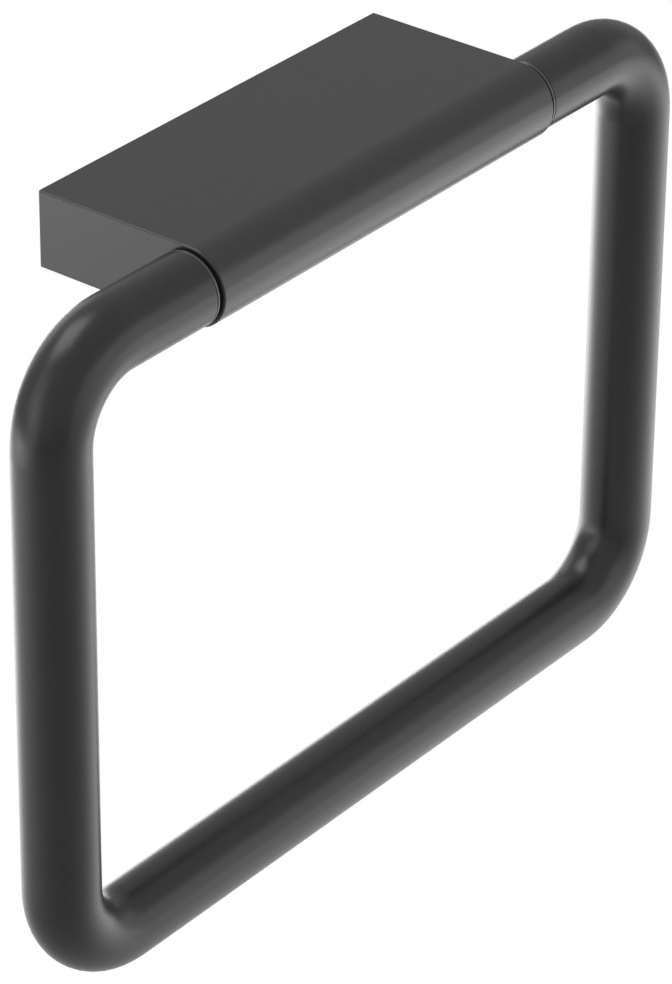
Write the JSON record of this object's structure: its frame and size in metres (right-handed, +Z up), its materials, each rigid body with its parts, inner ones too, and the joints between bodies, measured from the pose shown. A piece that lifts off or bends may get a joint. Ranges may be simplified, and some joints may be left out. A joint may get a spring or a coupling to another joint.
{
  "type": "towel ring",
  "caption": "Wall-mounted towel ring: a bent round tube with rounded corners swings freely below a short hollow holder with a half-round nose.",
  "frame": {"origin": "middle of the back face on the wall, level with the ring's axis", "axes": "+X along the wall and the ring's axis, +Y into the wall, +Z up"},
  "size_m": [0.206, 0.047, 0.1525],
  "materials": {
    "holder_coating": "satin black powder coat on cast metal",
    "ring_coating": "satin black powder coat on bent tube",
    "black_nylon": "matt black nylon",
    "screw_steel": "plain stainless steel",
    "plate_steel": "brushed stainless steel"
  },
  "bodies": {
    "holder": {"holder": "holder_coating", "bush_left": "black_nylon", "bush_right": "black_nylon", "pivot_washer_left": "black_nylon", "pivot_washer_right": "black_nylon", "wall_plate": "plate_steel", "grub_screw_left": "screw_steel", "grub_screw_right": "screw_steel"},
    "ring": {"ring": "ring_coating", "ring_plug_left": "ring_coating", "ring_plug_right": "ring_coating", "shoulder_screw_left": "screw_steel", "shoulder_screw_right": "screw_steel"}
  },
  "joints": [
    {"name": "ring_swing", "type": "hinge", "parent": "holder", "child": "ring", "pos_m": [0, -0.0385, 0], "axis": [-1, 0, 0], "range_deg": [-12.8, 192.8]}
  ]
}
